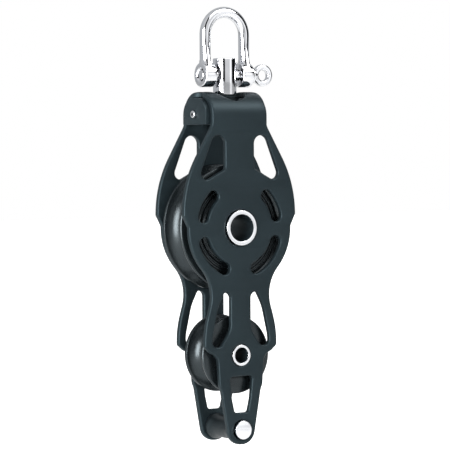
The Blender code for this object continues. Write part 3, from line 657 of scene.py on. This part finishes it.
front_plate = side_plate("front_plate_bent", -1)
rear_plate = side_plate("rear_plate_bent", 1)
settle(front_plate, PLATE_FINISH, "frame", "black_anodised", "front_side_plate", smooth=40)
settle(rear_plate, PLATE_FINISH, "frame", "black_anodised", "rear_side_plate", smooth=40)

# %% [markdown]
# ## Sheaves
#
# A sheave is turned from bar: two thin lips, a deep round groove for the rope, a bearing groove in
# each face, and on the large one a recessed web with three raised rings. Spinning one profile makes
# all of it, and a small bevel breaks every turned edge so that the lips catch a line of light.


# %% Turn the sheaves
def sheave(name, centre, radius, groove_r, bore_r, ball_circle, ball_r, web_rings, steps):
    half = SHEAVE_HALF
    top = radius + 0.1 * MM
    limit = acos((top - radius + GAP) / groove_r)
    rope = [(top - groove_r * cos(a), groove_r * sin(a)) for a in [limit * (1 - k / 14) for k in range(29)]]
    wall = ball_r + GAP
    floor = half + 0.7 * MM - GAP - 2 * ball_r
    face = [(bore_r, half), (ball_circle - wall, half), (ball_circle - wall, floor)]
    face += [(ball_circle + wall, floor), (ball_circle + wall, half), *web_rings]
    upper = [*face, (radius - 0.55 * MM, half), (radius, half - 0.5 * MM)]
    lower = [(r, -h) for r, h in reversed(upper)]
    made = lathe(name, [*upper, *rope, *lower], "Y", centre, steps)
    soften(made, 0.14, segments=2, limit=25)
    return made


half = SHEAVE_HALF
web = [(17.0, 0), (17.7, -1.2), (18.6, -1.2), (18.8, -0.7), (19.5, -0.7), (19.7, -1.2), (20.6, -1.2)]
web += [(20.8, -0.7), (21.5, -0.7), (21.7, -1.2), (22.6, -1.2), (22.8, -0.7), (23.5, -0.7), (23.7, -1.2)]
web += [(24.8, -1.2), (26.0, 0)]
web_rings = [(r * MM, half + drop * MM) for r, drop in web]
main_sheave = sheave(
    "large_sheave_turned", MAIN, MAIN_R, 6.9 * MM, 10.1 * MM, 13.2 * MM, 1.6 * MM, web_rings, 144
)
settle(main_sheave, MAIN_FINISH, "main_wheel", "smooth_black_anodised", "main_sheave")
small_sheave = sheave("small_sheave_turned", SMALL, SMALL_R, 6.5 * MM, 6.8 * MM, 8.6 * MM, 1.0 * MM, [], 112)
settle(small_sheave, SMALL_FINISH, "small_wheel", "smooth_black_anodised", "small_sheave")


# %% [markdown]
# ## Bearings
#
# Side-load balls keep a sheave off the plates when the rope pulls askew. They are loose acetal balls
# in a thin retainer ring, half sunk in the sheave's face, and they run on steel washers. One ball is
# made, then copied round the ring.


# %% Ball rings
def ball_ring(name, centre, side, circle_r, ball_r, count, body, node):
    middle = centre + Vector((0, side * (INNER_Y - 1.4 * MM - ball_r), 0))
    half_w, half_t = 0.75 * ball_r, 0.3 * ball_r
    profile = [(circle_r - half_w, half_t), (circle_r + half_w, half_t)]
    ring = lathe(name, [*profile, *[(r, -h) for r, h in reversed(profile)]], "Y", middle, 64)
    soften(ring, 0.1, segments=2)
    balls = []
    for k in range(count):
        a = 2 * pi * k / count
        spot = middle + Vector((circle_r * cos(a), 0, circle_r * sin(a)))
        shape = {"subdivisions": 3, "radius": ball_r, "location": spot}
        balls.append(fresh(bpy.ops.mesh.primitive_ico_sphere_add, f"{name}_ball_{k}", **shape))
    only(ring)
    for ball in balls:
        ball.select_set(True)
    bpy.ops.object.join()
    return settle(ring, WHITE_ACETAL, body, "white_acetal", node)


for word, side in (("front", -1), ("rear", 1)):
    large, small = f"main_{word}_ball_ring", f"small_{word}_ball_ring"
    ball_ring(f"large_{word}_balls", MAIN, side, 13.2 * MM, 1.6 * MM, 18, "main_balls", large)
    ball_ring(f"small_{word}_balls", SMALL, side, 8.6 * MM, 1.0 * MM, 18, "small_balls", small)


# %% [markdown]
# ## Axles
#
# The axles are hollow tubes whose ends are flared over the plates. The large one leaves a bright ring
# that stands 1 mm proud with a rounded crown, and the small one finishes flush. Only the rims are
# polished; the bores' inner faces are darker, and take the plates' dark finish as a second material.


# %% Hollow axles
def axle(name, centre, tube_r, bore_r, rim_r, end, crown_mm, node):
    neck = OUTER_Y - 0.8 * MM
    upper = [(bore_r, end), (rim_r, end), (rim_r, neck), (tube_r, neck)]
    made = lathe(name, [*upper, *[(r, -h) for r, h in reversed(upper)]], "Y", centre, 96)
    soften(made, crown_mm, segments=5)
    settle(made, POLISHED, "frame", "polished_stainless", node)
    made.data.materials.append(PLATE_FINISH)
    for face in made.data.polygons:
        out = face.center - centre
        face.material_index = int(sqrt(out.x**2 + out.z**2) < bore_r + 0.05 * MM)
    return made


main_end = float(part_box("main_axle")[1][1])
small_end = float(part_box("small_axle")[1][1])
axle("large_axle_flared", MAIN, 7.9 * MM, 6.4 * MM, 8.25 * MM, main_end, 0.4, "main_axle")
axle("small_axle_flared", SMALL, 4.6 * MM, 3.7 * MM, 4.95 * MM, small_end, 0.25, "small_axle")


# %% [markdown]
# ## Shackle
#
# The bow is one bent rod. It starts as a disc at the foot of the right leg, is pulled up, spun half
# round the crown and pulled down again, as the rod is bent over a former. Forged ears are joined at
# its feet and bored together for the pin, with a countersink on the left where the thread ends.

# %% Bow sizes
BOW_LOW, BOW_HIGH = (Vector(corner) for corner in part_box("shackle_bow"))
ROD_R = 2.6 * MM
CROWN_Z = -8.2 * MM  # centre of the crown's bend
BEND_MID = 10.8 * MM
EAR_OUT = BOW_HIGH.x
EAR_IN = 7.3 * MM
EAR_R = 5.8 * MM
print(f"bow {1000 * (BOW_HIGH.z - BOW_LOW.z):.1f} mm tall")


# %% Bend the bow
def bow():
    rod = fresh(
        bpy.ops.mesh.primitive_circle_add,
        "bow_bent_rod",
        vertices=40,
        radius=ROD_R,
        fill_type="NGON",
        location=(BEND_MID, 0, PIN.z + 1 * MM),
    )
    bake_place(rod)
    bpy.ops.object.mode_set(mode="EDIT")
    bpy.ops.mesh.select_all(action="SELECT")
    rise = CROWN_Z - PIN.z - 1 * MM
    bpy.ops.mesh.extrude_region_move(TRANSFORM_OT_translate={"value": (0, 0, rise)})
    bpy.ops.mesh.spin(steps=48, angle=pi, center=(0, 0, CROWN_Z), axis=(0, 1, 0))
    bpy.ops.mesh.extrude_region_move(TRANSFORM_OT_translate={"value": (0, 0, -rise)})
    bpy.ops.mesh.select_all(action="SELECT")
    bpy.ops.mesh.remove_doubles(threshold=0.002 * MM)
    bpy.ops.mesh.normals_make_consistent(inside=False)
    bpy.ops.object.mode_set(mode="OBJECT")
    return rod


bow_piece = bow()
print("bow has", len(bow_piece.data.vertices), "corners before its ears")
for side in (1, -1):
    shoulder = fresh(
        bpy.ops.mesh.primitive_cone_add,
        "shoulder",
        vertices=48,
        radius1=4.9 * MM,
        radius2=2.5 * MM,
        depth=10 * MM,
        location=(side * BEND_MID, 0, PIN.z + 7.4 * MM),
        scale=(0.56, 1, 1),
    )
    soften(shoulder, 0.5, segments=2, limit=50)
    join_or_cut(bow_piece, shoulder, "UNION")
    ear = drum("ear", EAR_R, EAR_OUT - EAR_IN, "X", (side * (EAR_OUT + EAR_IN) / 2, 0, PIN.z), 72)
    soften(ear, 0.7, segments=4)
    join_or_cut(bow_piece, ear, "UNION")
join_or_cut(bow_piece, drum("bore", 2.75 * MM, 4 * EAR_OUT, "X", (0, 0, PIN.z)))
sink = fresh(
    bpy.ops.mesh.primitive_cone_add,
    "sink",
    vertices=64,
    radius1=3.9 * MM,
    radius2=2.2 * MM,
    depth=2.4 * MM,
    location=(-EAR_OUT + 0.6 * MM, 0, PIN.z),
    rotation=(0, pi / 2, 0),
)
join_or_cut(bow_piece, sink)
soften(bow_piece, 0.25, segments=2, limit=38)
settle(bow_piece, POLISHED, "shackle", "polished_stainless", "shackle_bow")

# %% [markdown]
# ## Shackle pin
#
# A turned shank with a collar, drawn down to a flat lug with a hole for a marlinspike. The end that
# shows in the left ear carries a thread, cut as fine rings of a 0.8 mm pitch.

# %% Turn and flatten the pin
PIN_HIGH = Vector(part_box("shackle_pin")[1])
EYE_R = 5.2 * MM
EYE_X = PIN_HIGH.x - EYE_R
shank = [(0, EYE_X - 3.6 * MM), (1.6 * MM, EYE_X - 3.6 * MM), (1.9 * MM, EAR_OUT + 2.2 * MM)]
shank += [(3.9 * MM, EAR_OUT + 1.8 * MM), (3.9 * MM, EAR_OUT + 0.3 * MM), (2.45 * MM, EAR_OUT + 0.3 * MM)]
thread_top, pitch = -EAR_IN - 0.2 * MM, 0.8 * MM
turns = int((thread_top + EAR_OUT - 0.5 * MM) / pitch)
for k in range(turns):
    start = thread_top - k * pitch
    shank += [(2.45 * MM, start), (2.12 * MM, start - pitch / 2)]
shank += [(2.4 * MM, thread_top - turns * pitch), (2.0 * MM, -EAR_OUT + 0.2 * MM), (0, -EAR_OUT + 0.2 * MM)]
pin_piece = lathe("shackle_pin_turned", shank, "X", (0, 0, PIN.z), 64)
soften(pin_piece, 0.2, segments=3, limit=60)
eye = drum("eye", EYE_R, 3.0 * MM, "Y", (EYE_X, 0, PIN.z), 72)
join_or_cut(eye, drum("eye_hole", 2.6 * MM, 9 * MM, "Y", (EYE_X, 0, PIN.z), 56))
soften(eye, 0.8, segments=5)
join_or_cut(pin_piece, eye, "UNION")
settle(pin_piece, POLISHED, "pin", "polished_stainless", "shackle_pin")

# %% [markdown]
# ## Swivel post
#
# A polished post with a turned chamfer, cross-bored for the pin, that drops through the head to its
# nut.

# %% Turn the post
POST_LOW, POST_HIGH = (Vector(corner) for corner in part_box("swivel_post"))
POST_R = POST_HIGH.x
shoulder = BLOCK_HIGH.z + 1.4 * MM
post_profile = [(0, POST_HIGH.z), (POST_R, POST_HIGH.z), (POST_R, shoulder), (4.6 * MM, shoulder)]
post_profile += [(4.6 * MM, POST_LOW.z), (0, POST_LOW.z)]
post_piece = lathe("swivel_post_turned", post_profile, "Z", (0, 0, 0), 96)
soften(post_piece, 0.55, segments=4)
join_or_cut(post_piece, drum("post_bore", 2.75 * MM, 4 * POST_R, "X", (0, 0, PIN.z)))
soften(post_piece, 0.12, segments=2, limit=50)
settle(post_piece, POLISHED, "post", "polished_stainless", "swivel_post")

# %% [markdown]
# ## Head block and set screw
#
# The block is a milled bar, rounded on top to the plates' inner bend and slightly proud of them at
# both ends. It starts as a cube, its two long top edges are rounded with a wide bevel and the rest
# with a small one. A counterbore below takes the washer and the top of the nut. The set screw stands
# proud of the left end, and its socket is a hexagon.

# %% Mill the head block
size = BLOCK_HIGH - BLOCK_LOW
middle = (BLOCK_HIGH + BLOCK_LOW) / 2
block = fresh(
    bpy.ops.mesh.primitive_cube_add, "head_block_milled", size=1, location=middle, scale=size
)
bake_place(block)
bpy.ops.object.mode_set(mode="EDIT")
shape = bmesh.from_edit_mesh(block.data)
for edge in shape.edges:
    ends = [vertex.co for vertex in edge.verts]
    edge.select_set(all(co.z > BLOCK_HIGH.z - 1e-5 for co in ends) and abs(ends[0].x - ends[1].x) > 1e-3)
bmesh.update_edit_mesh(block.data)
bpy.ops.mesh.bevel(offset=8.3 * MM, offset_type="OFFSET", segments=16, affect="EDGES")
bpy.ops.object.mode_set(mode="OBJECT")
screw_low, screw_high = (Vector(corner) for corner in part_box("swivel_set_screw"))
SCREW_Z = (screw_low.z + screw_high.z) / 2
join_or_cut(block, drum("post_room", 6.7 * MM, 40 * MM, "Z", (0, 0, BLOCK_LOW.z)))
join_or_cut(block, drum("nut_room", 7.8 * MM, 4.8 * MM, "Z", (0, 0, BLOCK_LOW.z)))
join_or_cut(block, drum("screw_room", 1.95 * MM, BLOCK_HIGH.x, "X", (-BLOCK_HIGH.x, 0, SCREW_Z), 48))
soften(block, 0.7, segments=4, limit=50)
modify(block, "WEIGHTED_NORMAL", weight=60, keep_sharp=True)
settle(block, PLATE_FINISH, "frame", "black_anodised", "head_block", smooth=40)

# %% Turn the set screw
screw_profile = [(0, -screw_low.x), (1.75 * MM, -screw_low.x), (1.75 * MM, -screw_high.x + 0.6 * MM)]
screw_profile += [(1.15 * MM, -screw_high.x), (0, -screw_high.x)]
screw_piece = lathe("set_screw_turned", screw_profile, "X", (0, 0, 0), 48)
screw_piece.rotation_euler = (0, 0, pi)
screw_piece.location = (0, 0, SCREW_Z)
bake_place(screw_piece)
soften(screw_piece, 0.45, segments=4)
join_or_cut(screw_piece, drum("socket", 0.85 * MM, 4 * MM, "X", (screw_low.x, 0, SCREW_Z), 6))
settle(screw_piece, POLISHED, "set_screw", "plain_stainless", "swivel_set_screw")

# %% [markdown]
# ## Becket
#
# A headed pin crosses the foot, held by a snap ring behind, and carries a satin black roller with
# two low flanges that a rope's eye is made fast round.

# %% Becket pin and roller
head_y = -float(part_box("becket_pin")[0][1])
tail_y = float(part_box("becket_pin")[1][1])
clip_low, clip_high = (float(corner[1]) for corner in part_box("becket_clip"))
shank_r, groove_r, head_r, play = 2.5 * MM, 2.0 * MM, 4.4 * MM, 0.2 * MM
seat_y = -OUTER_Y + 0.6 * MM
becket_profile = [(0, tail_y), (shank_r, tail_y), (shank_r, clip_high + play)]
becket_profile += [(groove_r, clip_high + play), (groove_r, clip_low - play), (shank_r, clip_low - play)]
becket_profile += [(shank_r, seat_y), (head_r, seat_y), (head_r, -head_y), (0, -head_y)]
becket_pin = lathe("becket_pin_turned", becket_profile, "Y", BECKET, 72)
soften(becket_pin, 0.3, segments=4)
settle(becket_pin, POLISHED, "frame", "polished_stainless", "becket_pin")

roller_half = float(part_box("becket_spool")[1][1])
flange = [(6.0, roller_half / MM), (6.0, roller_half / MM - 1.6)]
reach = roller_half / MM - 1.8
waist = [(5.1 + 0.9 * (k / 6) ** 2, reach * (0.4 + 0.6 * k / 6)) for k in range(6, -1, -1)]
outer = [(r * MM, h * MM) for r, h in [*flange, *waist]]
bore_r = 2.8 * MM
roller_profile = [(bore_r, roller_half), *outer, *[(r, -h) for r, h in reversed(outer)]]
roller_profile += [(bore_r, -roller_half)]
roller = lathe("becket_roller_moulded", roller_profile, "Y", BECKET, 96)
soften(roller, 0.35, segments=4, limit=40)
settle(roller, BLACK_ACETAL_AND_SHADE, "becket_roller", "black_acetal", "becket_spool")

# %% [markdown]
# ## Hidden pieces
#
# The nut, washers, sleeves and snap ring already have their true shape in the frame, so they keep it
# and take a proper finish. The post's bushing takes the black plastic as painted shade, to darken the
# gap round the post.

# %% Finishes for the pieces kept from the frame
kept = {
    PLAIN: ["post_nut", "post_roll_pin", "becket_clip", "main_front_race", "main_rear_race"],
    BRONZE: ["post_thrust_washer"],
    # The post's bushing is painted shade: black plastic that darkens the gap round the post.
    BLACK_ACETAL_AND_SHADE: ["post_bushing"],
    WHITE_ACETAL: ["main_bushing", "small_bushing"],
}
kept[PLAIN] += ["small_front_race", "small_rear_race"]
for material, names in kept.items():
    for name in names:
        mesh = frame["nodes"][name].data
        mesh.materials.clear()
        mesh.materials.append(material)
print(sum(len(names) for names in kept.values()), "kept nodes finished")

# %% [markdown]
# ## Studio
#
# The block hangs in a white product studio: a pale floor below, soft boxes above and in front, one
# more for the bend of the plates, and a tall wall of light at the left that lays the soft highlight
# in the rope grooves. Dark flags in the surroundings give polished steel the deep stripes that make
# it read as steel. Camera rays see plain white.


# %% World and lights
def studio_world():
    """White walls with two dark flags, dimmer underfoot; angles run round the compass from 0 to 1."""
    world = bpy.data.worlds.new("studio")
    bpy.context.scene.world = world
    world.use_nodes = True
    tree = world.node_tree
    tree.nodes.clear()
    way = add_node(tree, "ShaderNodeTexCoord").outputs["Generated"]
    parts = add_node(tree, "ShaderNodeSeparateXYZ", {"Vector": way})
    height = add_node(tree, "ShaderNodeMapRange", {"Value": parts.outputs["Z"], "From Min": -1.0})
    tiers = add_node(tree, "ShaderNodeValToRGB", {"Fac": height.outputs["Result"]})
    ramp_stops(tiers, [(0.0, "#8e9091"), (0.42, "#b4b6b8"), (0.5, "#e6e7e8"), (1.0, "#ffffff")])
    around = add_node(
        tree, "ShaderNodeMath", {0: parts.outputs["Y"], 1: parts.outputs["X"]}, operation="ARCTAN2"
    )
    compass = add_node(
        tree, "ShaderNodeMapRange", {"Value": around.outputs["Value"], "From Min": -pi, "From Max": pi}
    )
    flags = add_node(tree, "ShaderNodeValToRGB", {"Fac": compass.outputs["Result"]})
    dark = "#16181a"
    stops = [(0.0, "#e0e0e0"), (0.075, "#f4f4f4"), (0.09, dark), (0.165, dark), (0.18, "#ffffff")]
    stops += [(0.355, "#ffffff"), (0.37, dark), (0.5, dark)]
    stops += [(0.53, "#d8dadc"), (0.72, "#c8cacc"), (0.95, "#dadcde")]
    ramp_stops(flags, stops)
    lit = add_node(
        tree,
        "ShaderNodeMix",
        {"Factor": 1.0, 6: tiers.outputs["Color"], 7: flags.outputs["Color"]},
        data_type="RGBA",
        blend_type="MULTIPLY",
    )
    seen = add_node(tree, "ShaderNodeLightPath").outputs["Is Camera Ray"]
    walls = add_node(tree, "ShaderNodeBackground", {"Color": lit.outputs[2], "Strength": 1.1})
    behind = add_node(tree, "ShaderNodeBackground", {"Color": (1, 1, 1, 1), "Strength": 1.0})
    both = add_node(tree, "ShaderNodeMixShader", {0: seen, 1: walls.outputs[0], 2: behind.outputs[0]})
    add_node(tree, "ShaderNodeOutputWorld", {"Surface": both.outputs[0]})


def ramp_stops(ramp, stops):
    """Set a colour ramp's stops, a list of (position, hex colour)."""
    elements = ramp.color_ramp.elements
    while len(elements) < len(stops):
        elements.new(1.0)
    for element, (place, tone) in zip(elements, stops):
        element.position, element.color = place, linear(tone)


def soft_box(name, place, size, radiance):
    """A rectangular light that faces the block and looks equally bright whatever its size."""
    light = bpy.data.lights.new(name, "AREA")
    light.shape = "RECTANGLE"
    light.size, light.size_y = size
    light.energy = radiance * pi * size[0] * size[1]
    lamp = bpy.data.objects.new(name, light)
    bpy.context.scene.collection.objects.link(lamp)
    lamp.location = MAIN + Vector(place)
    lamp.rotation_euler = Vector(place).to_track_quat("Z", "Y").to_euler()


studio_world()
soft_box("top_box", (0.1, -0.4, 0.8), (0.8, 0.5), 2.5)
soft_box("front_card", (0.55, -0.87, 0.0), (0.45, 0.8), 0.6)
soft_box("left_wall", (-0.84, -0.35, -0.06), (0.5, 1.05), 18)
soft_box("roll_card", (0.51, -0.59, 0.72), (0.5, 0.4), 10)
bpy.context.scene.view_settings.view_transform = "Standard"

# %% Floor
floor_z = cad_box[0][2] - 0.08
floor = fresh(bpy.ops.mesh.primitive_plane_add, "studio_floor", size=12, location=(0, 0, floor_z))
floor_finish, floor_tree, floor_shader = new_material("white_studio_floor", roughness=0.8)
floor_shader.inputs["Base Color"].default_value = linear("#f4f4f3")
floor_shader.inputs["Emission Color"].default_value = (1, 1, 1, 1)
seen_directly = add_node(floor_tree, "ShaderNodeLightPath").outputs["Is Camera Ray"]
floor_tree.links.new(seen_directly, floor_shader.inputs["Emission Strength"])
floor.data.materials.append(floor_finish)
print(f"floor at {1000 * floor_z:.0f} mm")

# %% [markdown]
# ## Camera
#
# A long lens stands 1.27 m off, 32 degrees round to the left of the front plate and a little above
# it, so both the front face and the edges of the sheaves show.

# %% Camera
TURN, RISE, ROLL = radians(-32.24), radians(1.70), radians(-0.39)
DISTANCE = 1.268
back = Vector((sin(TURN) * cos(RISE), -cos(TURN) * cos(RISE), sin(RISE)))
right = Vector((cos(TURN), sin(TURN), 0))
up = back.cross(right)
level_right = right * cos(ROLL) + up * sin(ROLL)
level_up = up * cos(ROLL) - right * sin(ROLL)
aim = MAIN - level_right * 0.32 * MM + level_up * 1.03 * MM
lens = bpy.data.cameras.new("camera")
lens.lens = 213.7
lens.sensor_width = 36
lens.clip_start = 0.05
camera = bpy.data.objects.new("camera", lens)
bpy.context.scene.collection.objects.link(camera)
turned = Matrix((level_right, level_up, back)).transposed().to_4x4()
camera.matrix_world = Matrix.Translation(aim + back * DISTANCE) @ turned
bpy.context.scene.camera = camera
print("camera at", [round(c, 3) for c in camera.location])
